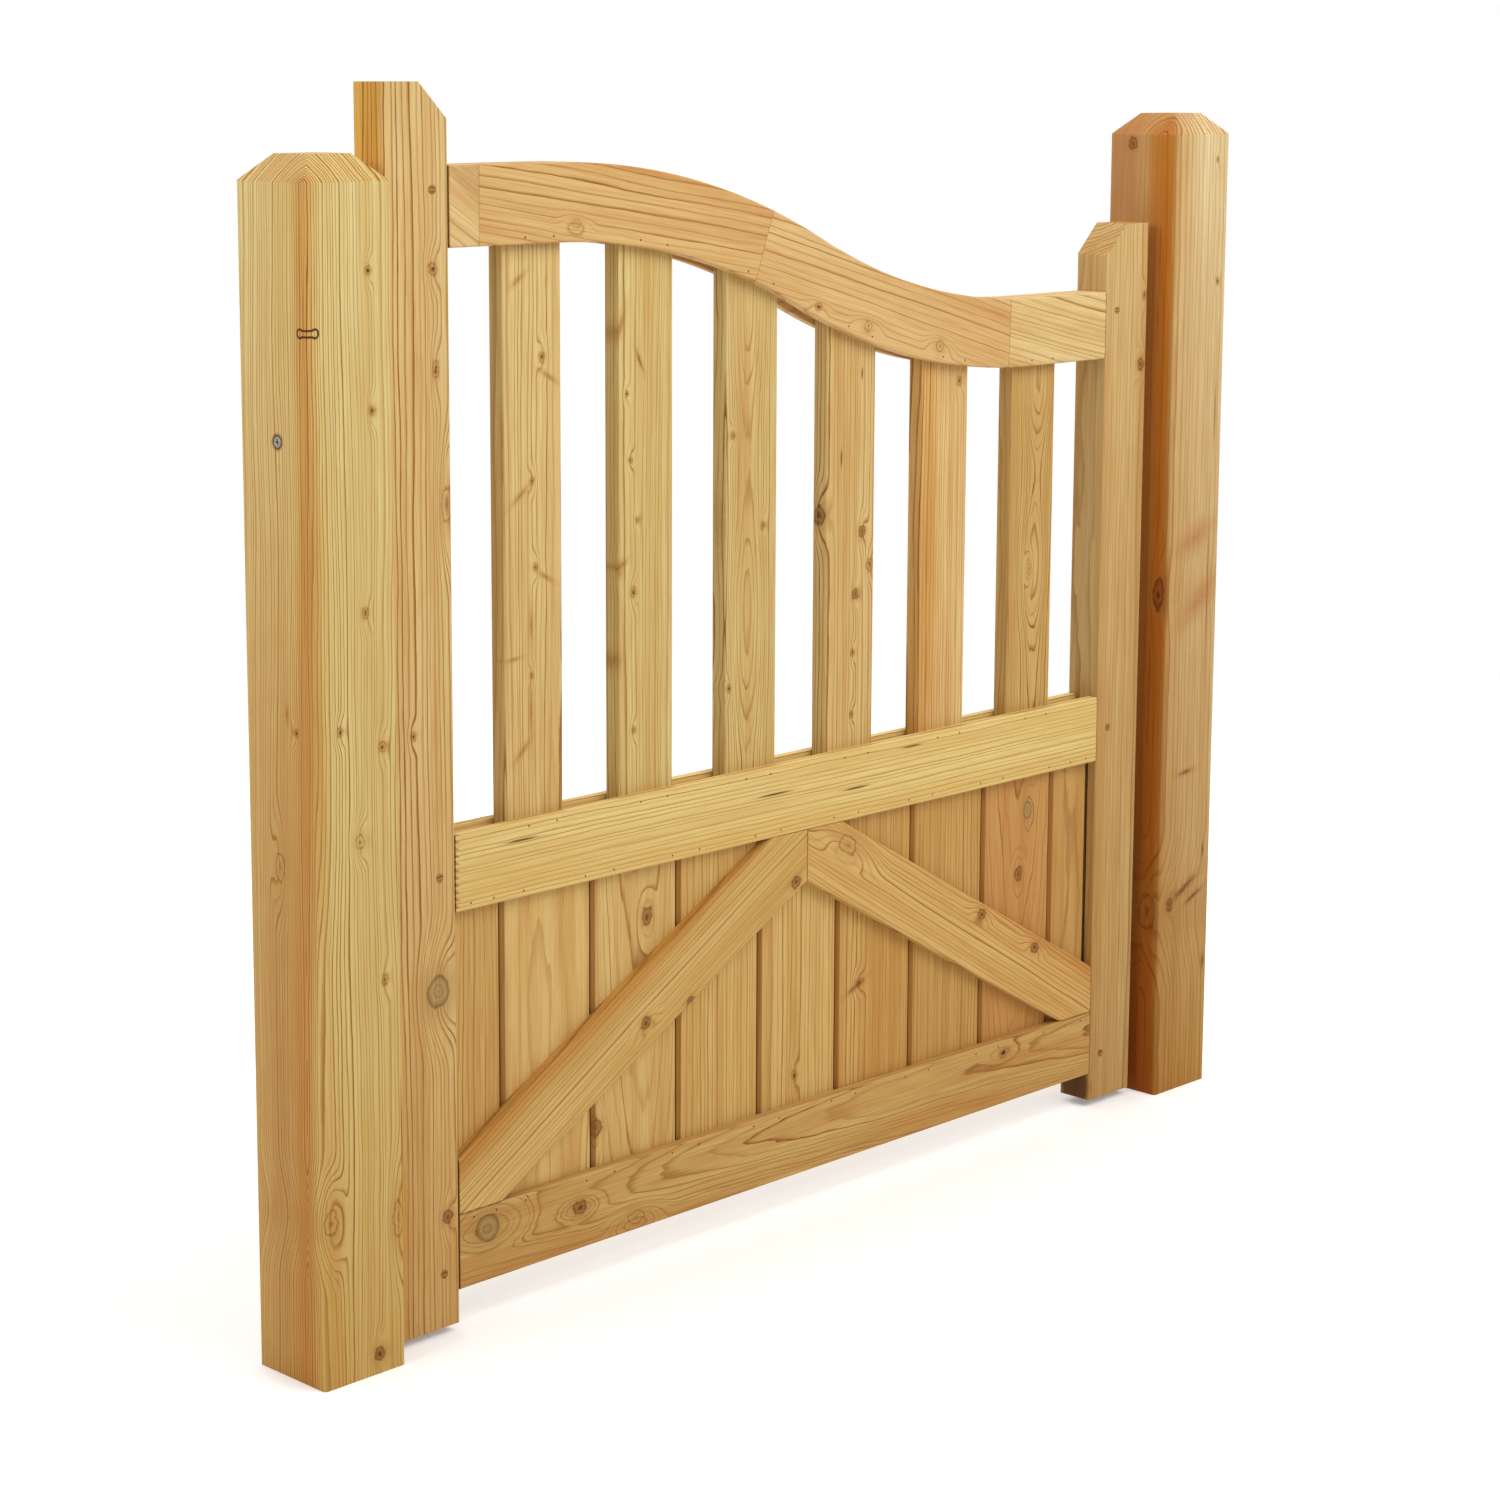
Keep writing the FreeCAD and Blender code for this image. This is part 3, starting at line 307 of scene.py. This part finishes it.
def planedLarch(piece, cut):
    wood = {**larch, **cut}
    material = bpy.data.materials.new("planedLarch." + piece)
    material.use_nodes = True
    tree = material.node_tree
    surface = tree.nodes["Principled BSDF"]
    place = tree.nodes.new("ShaderNodeTexCoord").outputs
    low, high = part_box(piece)
    if wood["grain"] is None:
        along = Vector((0, 1, 0))
        across = Vector((0, 0, 1))
    else:
        slope = math.radians(wood["grain"])
        along = Vector((math.cos(slope), 0, math.sin(slope)))
        across = Vector((-math.sin(slope), 0, math.cos(slope)))
    back = across.cross(along)
    pith = (Vector(low) + Vector(high)) / 2 + across * wood["pith"][0] / 1000 + back * wood["pith"][1] / 1000
    turn = Matrix((along, back, across)).transposed().to_euler()

    # the log's own frame in mm: along the grain, to the back, across
    log = addNode(tree, "Mapping", {"Vector": place["Object"], "Location": pith, "Rotation": turn,
                                    "Scale": (mm, mm, mm)}, vector_type="TEXTURE")
    inLog = addNode(tree, "SeparateXYZ", {0: log}).node.outputs
    leaning = addNode(tree, "Math", {0: inLog[0], 1: wood["lean"], 2: inLog[1]}, operation="MULTIPLY_ADD")
    section = addNode(tree, "CombineXYZ", {1: leaning, 2: inLog[2]})
    radius = addNode(tree, "VectorMath", {0: section}, out=1, operation="LENGTH")

    noises = {}
    seedAt = Vector((3.7, 1.9, 5.3)) * wood["seed"]  # any step that puts each piece elsewhere in the noise
    swaying = {"length": wood["swayLength"], "width": wood["swayWidth"], "detail": wood["swayDetail"],
               "moves": wood["sway"] * 2}
    for name, noise in {"sway": swaying, **larchNoise}.items():
        thin = 1 / noise["width"]
        stretched = addNode(tree, "Mapping", {"Vector": log, "Location": seedAt,
                                              "Scale": (1 / noise["length"], thin, thin)})
        noises[name] = addNode(tree, "TexNoise", {"Vector": stretched, "Scale": 1.0,
                                                  "Detail": noise["detail"]})
        if "moves" in noise:
            radius = addNode(tree, "Math", {0: noises[name], 1: noise["moves"], 2: radius},
                             operation="MULTIPLY_ADD")

    trunk = radius  # heartwood keeps this edge where rings bend round a mark
    colours = []
    for kind, spot, halfLength, halfWidth, *turned in wood["marks"]:
        mark = larchMarks[kind]
        twist = math.radians(turned[0]) if turned else 0.0
        fromPith = Vector([0 if value is None else value / 1000 for value in spot]) - pith
        centre = [fromPith.dot(way) * 1000 for way in (along, back, across)]
        sizes = [halfLength, halfWidth, halfWidth]
        if None in spot:
            sizes[1 if spot[1] is None else 2] = markDrawing["through"]
        near = addNode(tree, "Mapping", {"Vector": log, "Location": centre, "Rotation": (0, twist, 0),
                                         "Scale": [s / markDrawing["edge"] for s in sizes]},
                       vector_type="TEXTURE")
        near = addNode(tree, "VectorMath", {0: near}, out=1, operation="LENGTH")
        ragged = addNode(tree, "TexNoise", {"Vector": log, "Scale": markDrawing["lumps"] / halfWidth,
                                            "Detail": 2.0})
        near = addNode(tree, "Math", {0: ragged, 1: mark["ragged"], 2: near}, operation="MULTIPLY_ADD")
        near = addNode(tree, "Math", {0: near, 1: mark["ragged"] / 2}, operation="SUBTRACT")
        colours.append((near, mark["stops"]))
        if mark["push"]:
            wide = addNode(tree, "Mapping", {"Vector": log, "Location": centre,
                                             "Scale": [s * k for s, k in zip(sizes, markDrawing["bend"])]},
                           vector_type="TEXTURE")
            wide = addNode(tree, "VectorMath", {0: wide}, out=1, operation="LENGTH")
            bend = addNode(tree, "MapRange", {"Value": wide, "To Min": mark["push"] * halfWidth,
                                              "To Max": 0.0}, interpolation_type="SMOOTHERSTEP")
            radius = addNode(tree, "Math", {0: radius, 1: bend}, operation="ADD")

    # growth rings: slow start in earlywood, sharp end in latewood, each year a little different
    years = addNode(tree, "Math", {0: radius, 1: 1 / wood["slow"], 2: 1.0}, operation="MULTIPLY_ADD")
    years = addNode(tree, "Math", {0: years, 1: math.e}, operation="LOGARITHM")
    years = addNode(tree, "Math", {0: years, 1: wood["slow"] / wood["ring"]}, operation="MULTIPLY")
    pace = addNode(tree, "TexNoise", {"W": years, "Scale": wood["paceScale"], "Detail": 1.0},
                   noise_dimensions="1D")
    years = addNode(tree, "Math", {0: pace, 1: wood["pace"], 2: years}, operation="MULTIPLY_ADD")
    year = addNode(tree, "Math", {0: years}, operation="FLOOR")
    season = addNode(tree, "Math", {0: years}, operation="FRACT")
    growth = addNode(tree, "MapRange", {"Value": season, "From Min": wood["lateFrom"],
                                        "From Max": wood["latePeak"]}, interpolation_type="SMOOTHSTEP")
    growth = addNode(tree, "Math", {0: growth, 1: wood["lateGather"]}, operation="POWER")
    winter = addNode(tree, "MapRange", {"Value": season, "From Min": wood["lateStop"][0],
                                        "From Max": wood["lateStop"][1], "To Min": 1.0, "To Max": 0.0})
    late = addNode(tree, "Math", {0: growth, 1: winter}, operation="MULTIPLY")
    banded = addNode(tree, "MapRange", {"Value": noises["band"], "From Min": wood["bandRange"][0],
                                        "From Max": wood["bandRange"][1], "To Min": wood["lateBands"][0],
                                        "To Max": wood["lateBands"][1]})
    late = addNode(tree, "Math", {0: late, 1: banded}, operation="MULTIPLY")
    yearly = addNode(tree, "TexWhiteNoise", {"W": year}, noise_dimensions="1D")
    palest, darkest = [depth * wood["lateDepth"] for depth in wood["lateYears"]]
    yearly = addNode(tree, "MapRange", {"Value": yearly, "To Min": palest, "To Max": darkest})
    late = addNode(tree, "Math", {0: late, 1: yearly}, operation="MULTIPLY")

    # sawn ends drink more, so they are darker and their rings bolder
    facing = addNode(tree, "VectorMath", {0: place["Normal"], 1: along}, out=1, operation="DOT_PRODUCT")
    facing = addNode(tree, "Math", {0: facing}, operation="ABSOLUTE")
    endGrain = addNode(tree, "MapRange", {"Value": facing, "From Min": wood["endFacing"][0],
                                          "From Max": wood["endFacing"][1]})
    bolder = addNode(tree, "MapRange", {"Value": facing, "From Min": wood["boldFacing"][0],
                                        "From Max": wood["boldFacing"][1], "To Min": 1.0,
                                        "To Max": wood["endBold"]})
    late = addNode(tree, "Math", {0: late, 1: bolder}, operation="MULTIPLY", use_clamp=True)

    # sapwood and heartwood, each with its earlywood and latewood
    sap = linear(wood["tone"])
    heart = [s * k for s, k in zip(sap, wood["heartShare"])]
    innerSap = [s * k for s, k in zip(sap, wood["innerShare"])]
    lateSap = [s * k for s, k in zip(sap, wood["lateShare"])]
    lateHeart = [h * k for h, k in zip(heart, wood["lateShare"])]
    edge = addNode(tree, "Math", {0: noises["band"], 1: wood["heartWander"], 2: trunk},
                   operation="MULTIPLY_ADD")
    limit = wood["heart"] + wood["heartWander"] / 2 + wood["sway"]  # allows for the middle of the noises
    inHeart = addNode(tree, "MapRange", {"Value": edge, "From Min": limit - wood["heartSoft"],
                                         "From Max": limit + wood["heartSoft"],
                                         "To Min": 1.0 if wood["heart"] else 0.0, "To Max": 0.0},
                      interpolation_type="SMOOTHSTEP")
    inner = addNode(tree, "MapRange", {"Value": edge, "From Min": limit,
                                       "From Max": limit + wood["innerReach"], "To Min": 1.0, "To Max": 0.0})
    early = addNode(tree, "Mix", {0: inner, 6: sap + [1], 7: innerSap + [1]}, **mixColours)
    early = addNode(tree, "Mix", {0: inHeart, 6: early, 7: heart + [1]}, **mixColours)
    lines = addNode(tree, "Mix", {0: inHeart, 6: lateSap + [1], 7: lateHeart + [1]}, **mixColours)
    tone = addNode(tree, "Mix", {0: late, 6: early, 7: lines}, **mixColours)
    for name in ("band", "fibre"):
        start, full, share = larchNoise[name]["browns"]
        stained = addNode(tree, "MapRange", {"Value": noises[name], "From Min": start, "From Max": full,
                                             "To Max": share})
        tone = addNode(tree, "Mix", {0: stained, 6: tone, 7: linear(wood["stain"]) + [1]}, **darken)
    for near, stops in colours:
        ramp = addNode(tree, "ValToRGB", {"Fac": near}).node
        for between in stops[1:-1]:
            ramp.color_ramp.elements.new(between[0])
        for element, (at, colour, cover) in zip(ramp.color_ramp.elements, stops):
            element.position = at
            element.color = linear(colour) + [cover]
        tone = addNode(tree, "Mix", {0: ramp.outputs[1], 6: tone, 7: ramp.outputs[0]}, **mixColours)
    tone = addNode(tree, "Mix", {0: endGrain, 6: tone, 7: linear(wood["endTone"]) + [1]}, **darken)

    spread = addNode(tree, "SeparateXYZ", {0: place["Object"]}).node.outputs
    if wood["veeAt"] is not None:  # painted shade: the flank of a vee joint darkened brown as in shade
        start, end = [(wood["veeAt"] + x) / 1000 for x in veeShade["flank"]]
        flank = addNode(tree, "MapRange", {"Value": spread[0], "From Min": start, "From Max": end,
                                           "To Min": veeShade["depth"], "To Max": 0.0})
        tone = addNode(tree, "Mix", {0: flank, 6: tone, 7: linear(veeShade["tone"]) + [1]}, **mixColours)
    for x, z, fall, depth in wood["seams"]:  # a thin dark line where two pieces meet
        line = addNode(tree, "Mapping", {"Vector": place["Object"], "Location": (x / 1000, 0, z / 1000),
                                         "Rotation": (0, math.radians(fall), 0), "Scale": (mm, mm, mm)},
                       vector_type="TEXTURE")
        apart = addNode(tree, "SeparateXYZ", {0: line}).node.outputs
        ragged = addNode(tree, "TexNoise", {"Vector": line, "Scale": seamLine["lumps"], "Detail": 1.0})
        offLine = addNode(tree, "Math", {0: ragged, 1: seamLine["wander"], 2: apart[0]},
                          operation="MULTIPLY_ADD")
        offLine = addNode(tree, "Math", {0: offLine, 1: seamLine["wander"] / 2}, operation="SUBTRACT")
        offLine = addNode(tree, "Math", {0: offLine}, operation="ABSOLUTE")
        seam = addNode(tree, "MapRange", {"Value": offLine, "From Min": seamLine["half"][0],
                                          "From Max": seamLine["half"][1], "To Min": depth, "To Max": 0.0})
        tone = addNode(tree, "Mix", {0: seam, 6: tone, 7: linear(seamLine["tone"]) + [1]}, **mixColours)

    if wood["patch"]:  # two round lobes and a waist between them, of which only the glued rim shows
        around = mm / math.sqrt(2)  # turned by 45 degrees, this measures round the edge
        corner = (low[0], low[1], wood["patch"] / 1000)
        sides = addNode(tree, "Mapping", {"Vector": place["Object"], "Location": corner,
                                          "Rotation": (0, 0, math.radians(45)), "Scale": (mm, around, mm)},
                        vector_type="TEXTURE")
        sides = addNode(tree, "VectorMath", {0: sides}, operation="ABSOLUTE")
        reach = addNode(tree, "SeparateXYZ", {0: sides}).node.outputs
        past = addNode(tree, "Math", {0: reach[1], 1: inlay["offset"]}, operation="SUBTRACT")
        lobe = addNode(tree, "CombineXYZ", {0: past, 1: reach[2]})
        lobe = addNode(tree, "VectorMath", {0: lobe}, out=1, operation="LENGTH")
        lobe = addNode(tree, "Math", {0: lobe, 1: inlay["lobe"]}, operation="SUBTRACT")
        waist = addNode(tree, "Math", {0: reach[2], 1: inlay["waist"]}, operation="SUBTRACT")
        waist = addNode(tree, "Math", {0: past, 1: waist}, operation="MAXIMUM")
        rim = addNode(tree, "Math", {0: lobe, 1: waist}, operation="MINIMUM")
        rim = addNode(tree, "Math", {0: rim}, operation="ABSOLUTE")
        rim = addNode(tree, "MapRange", {"Value": rim, "From Min": inlay["rim"][0],
                                         "From Max": inlay["rim"][1], "To Min": 1.0, "To Max": 0.0})
        shallow = addNode(tree, "Math", {0: reach[0], 1: inlay["deep"]}, operation="LESS_THAN")
        rim = addNode(tree, "Math", {0: rim, 1: shallow}, operation="MULTIPLY")
        tone = addNode(tree, "Mix", {0: rim, 6: tone, 7: linear(inlay["tone"]) + [1]}, **mixColours)
    if wood["nicksAt"] is not None:  # fibres torn out in a row of teeth, with painted shade in the strip along the shoulder
        teeth = addNode(tree, "Math", {0: spread[2], 1: 1000 / tornShoulderShade["apart"]}, operation="MULTIPLY")
        teeth = addNode(tree, "Math", {0: teeth}, operation="FRACT")
        start, end = [(wood["nicksAt"] + x) / 1000 for x in tornShoulderShade["reach"]]
        teeth = addNode(tree, "MapRange", {"Value": teeth, "To Min": start, "To Max": end})
        tornShade = addNode(tree, "Math", {0: spread[0], 1: teeth}, operation="SUBTRACT")
        tornShade = addNode(tree, "MapRange", {"Value": tornShade, "From Min": tornShoulderShade["edge"][0] / 1000,
                                          "From Max": tornShoulderShade["edge"][1] / 1000, "To Min": tornShoulderShade["depth"],
                                          "To Max": 0.0})
        tone = addNode(tree, "Mix", {0: tornShade, 6: tone, 7: linear(tornShoulderShade["tone"]) + [1]}, **mixColours)

    # painted shade: the colour darkens towards the ground and fades out a metre up
    groundShade = addNode(tree, "MapRange", {"Value": spread[2], "To Min": 1.0, "To Max": 0.0})
    tone = addNode(tree, "Mix", {0: groundShade, 6: tone, 7: linear(wood["foot"]) + [1]}, **darken)
    silk = addNode(tree, "MapRange", {"Value": noises["fibre"], "To Min": wood["silk"][0],
                                      "To Max": wood["silk"][1]})
    relief = addNode(tree, "Math", {0: late, 1: wood["lateRise"], 2: noises["fibre"]},
                     operation="MULTIPLY_ADD")
    rise = addNode(tree, "Bump", {"Strength": wood["riseStrength"], "Distance": wood["rise"],
                                  "Height": relief})
    tree.links.new(tone, surface.inputs["Base Color"])
    tree.links.new(silk, surface.inputs["Roughness"])
    tree.links.new(rise, surface.inputs["Normal"])
    surface.inputs["Specular IOR Level"].default_value = wood["specular"]
    return material


def dress(piece, material):
    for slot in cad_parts[piece].material_slots:
        slot.material = material


for piece, cut in larchPieces.items():
    dress(piece, planedLarch(piece, cut))
print("timber dressed")

# metals: a coat of zinc dipped on hot is dull grey with crystal patches, a screw plated cold is brighter
# and finer, a brad is bare wire gone brown in its hole; patch is a crystal's size in mm
metals = {
    "dippedZincSteel": {
        "tone": "#AEB2B4", "dark": "#8C9194", "patch": 7.0, "rough": (0.38, 0.58), "metallic": 1.0,
        "rise": 0.00008,
        "on": ["upper_hinge_strap", "lower_hinge_strap", "upper_hinge_pintle", "lower_hinge_pintle",
               "bolt_plate", "bolt_rod", "bolt_knob", "bolt_keep"]},
    "platedScrewSteel": {
        "tone": "#BDB9AC", "dark": "#6E6A60", "patch": 1.2, "rough": (0.24, 0.42), "metallic": 1.0,
        "rise": 0.00003,
        "on": ["post_screw", "strap_screws", "pintle_screws", "bolt_plate_screws", "keep_screws"]},
    "brownedBradWire": {
        "tone": "#4A3420", "dark": "#2C1D10", "patch": 0.8, "rough": (0.5, 0.75), "metallic": 0.5,
        "rise": 0.00003, "on": ["pale_brads", "board_brads"]},
}
crystalMix = {
    "bloom": 4.0,  # size of the cloudy bloom over the crystals, in crystals
    "share": 0.45,  # what the crystals add to it
    "toneFrom": 0.35,  # mix that is fully dark
    "roughFrom": 0.3,  # mix that is fully rough
    "to": 1.1,  # mix that is fully bright and smooth
    "riseStrength": 0.5,
}
for name, metal in metals.items():
    material = bpy.data.materials.new(name)
    material.use_nodes = True
    tree = material.node_tree
    surface = tree.nodes["Principled BSDF"]
    place = tree.nodes.new("ShaderNodeTexCoord").outputs["Object"]
    perMetre = 1000 / metal["patch"]
    crystals = addNode(tree, "TexVoronoi", {"Vector": place, "Scale": perMetre}, out=1)
    grey = addNode(tree, "RGBToBW", {0: crystals})
    bloom = addNode(tree, "TexNoise", {"Vector": place, "Scale": perMetre / crystalMix["bloom"],
                                       "Detail": 3.0})
    mixed = addNode(tree, "Math", {0: grey, 1: crystalMix["share"], 2: bloom}, operation="MULTIPLY_ADD")
    bright = addNode(tree, "MapRange", {"Value": mixed, "From Min": crystalMix["toneFrom"],
                                        "From Max": crystalMix["to"]})
    tone = addNode(tree, "Mix", {0: bright, 6: linear(metal["dark"]) + [1],
                                 7: linear(metal["tone"]) + [1]}, **mixColours)
    smooth, dull = metal["rough"]
    rough = addNode(tree, "MapRange", {"Value": mixed, "From Min": crystalMix["roughFrom"],
                                       "From Max": crystalMix["to"], "To Min": dull, "To Max": smooth})
    rise = addNode(tree, "Bump", {"Strength": crystalMix["riseStrength"], "Distance": metal["rise"],
                                  "Height": mixed})
    tree.links.new(tone, surface.inputs["Base Color"])
    tree.links.new(rough, surface.inputs["Roughness"])
    tree.links.new(rise, surface.inputs["Normal"])
    surface.inputs["Metallic"].default_value = metal["metallic"]
    for piece in metal["on"]:
        dress(piece, material)
print("metalwork dressed")

# studio: white seamless paper, one soft lamp in front, a weaker one on each other side
studio = {
    "paper": "#F2F2F0",
    "paperSize": 40.0,
    "paperRough": 0.9,
    "clearFrom": 1.6,  # m from the middle at which the paper starts to turn pure white
    "clearTo": 3.6,
    "lift": 0.2,  # how much whiter than lit the paper looks before that
    "sky": 0.58,  # light from all round
}
lamps = [
    {"name": "frontLamp", "at": (0.6, -2.2, 2.9), "aim": (0.0, 0.0, 0.8), "size": 2.2, "watts": 64.0},
    {"name": "leftLamp", "at": (-2.6, 0.0, 1.8), "aim": (-0.6, 0.0, 0.8), "size": 0.9, "watts": 21.0},
    {"name": "rightLamp", "at": (2.6, 0.0, 1.8), "aim": (0.6, 0.0, 0.8), "size": 0.9, "watts": 14.0},
    {"name": "backLamp", "at": (0.6, 2.9, 2.4), "aim": (0.0, 0.0, 0.6), "size": 2.2, "watts": 46.0},
]
white = (1, 1, 1, 1)
black = (0, 0, 0, 1)
scene = bpy.context.scene
scene.view_settings.view_transform = "Standard"
world = bpy.data.worlds.new("paleStudio")
scene.world = world
world.use_nodes = True
paper = bpy.data.materials.new("mattWhitePaper")
paper.use_nodes = True
looks = {}
for tree in (world.node_tree, paper.node_tree):  # 1 where the camera, a reflection or a refraction looks
    rays = tree.nodes.new("ShaderNodeLightPath").outputs
    seen = addNode(tree, "Math", {0: rays["Is Camera Ray"], 1: rays["Is Glossy Ray"]}, operation="MAXIMUM")
    looks[tree] = addNode(tree, "Math", {0: seen, 1: rays["Is Transmission Ray"]}, operation="MAXIMUM")
tree = world.node_tree
sky = tree.nodes["Background"]
sky.inputs["Color"].default_value = white
strength = addNode(tree, "MapRange", {"Value": looks[tree], "To Min": studio["sky"], "To Max": 1.0})
tree.links.new(strength, sky.inputs["Strength"])

tree = paper.node_tree
sheet = tree.nodes["Principled BSDF"]
place = tree.nodes.new("ShaderNodeTexCoord").outputs["Object"]
away = addNode(tree, "VectorMath", {0: place}, out=1, operation="LENGTH")
clear = addNode(tree, "MapRange", {"Value": away, "From Min": studio["clearFrom"],
                                   "From Max": studio["clearTo"]}, interpolation_type="SMOOTHSTEP")
fade = addNode(tree, "Mix", {0: clear, 6: linear(studio["paper"]) + [1], 7: black}, **mixColours)
glow = addNode(tree, "MapRange", {"Value": clear, "To Min": studio["lift"], "To Max": 1.0})
glow = addNode(tree, "Math", {0: glow, 1: looks[tree]}, operation="MULTIPLY")
tree.links.new(fade, sheet.inputs["Base Color"])
tree.links.new(glow, sheet.inputs["Emission Strength"])
sheet.inputs["Emission Color"].default_value = white
sheet.inputs["Roughness"].default_value = studio["paperRough"]
sheet.inputs["Specular IOR Level"].default_value = 0.0
half = studio["paperSize"] / 2
floorMesh = bpy.data.meshes.new("studioFloor")
corners = [(-half, -half, 0), (half, -half, 0), (half, half, 0), (-half, half, 0)]
floorMesh.from_pydata(corners, [], [(0, 1, 2, 3)])
floorMesh.materials.append(paper)
studioFloor = bpy.data.objects.new("studioFloor", floorMesh)
scene.collection.objects.link(studioFloor)
for lamp in lamps:
    light = bpy.data.lights.new(lamp["name"], "AREA")
    light.size = lamp["size"]
    light.energy = lamp["watts"]
    stand = bpy.data.objects.new(lamp["name"], light)
    stand.location = lamp["at"]
    stand.rotation_euler = (Vector(lamp["aim"]) - Vector(lamp["at"])).to_track_quat("-Z", "Y").to_euler()
    scene.collection.objects.link(stand)

# camera fitted to the corners of the posts, stiles and rails in the photograph
view = {"at": (-2.286, -2.130, 1.118), "yaw": 45.39, "tilt": 9.49, "lens": 78.35, "sensor": 36.0,
        "shift": (0.061, -0.09), "farthest": 100.0}
lens = bpy.data.cameras.new("photoCamera")
lens.sensor_width = view["sensor"]
lens.lens = view["lens"]
lens.shift_x, lens.shift_y = view["shift"]
lens.clip_end = view["farthest"]
photoCamera = bpy.data.objects.new("photoCamera", lens)
photoCamera.location = view["at"]
photoCamera.rotation_euler = (math.radians(90 - view["tilt"]), 0, math.radians(view["yaw"] - 90))
scene.collection.objects.link(photoCamera)
scene.camera = photoCamera
print("studio and camera set")
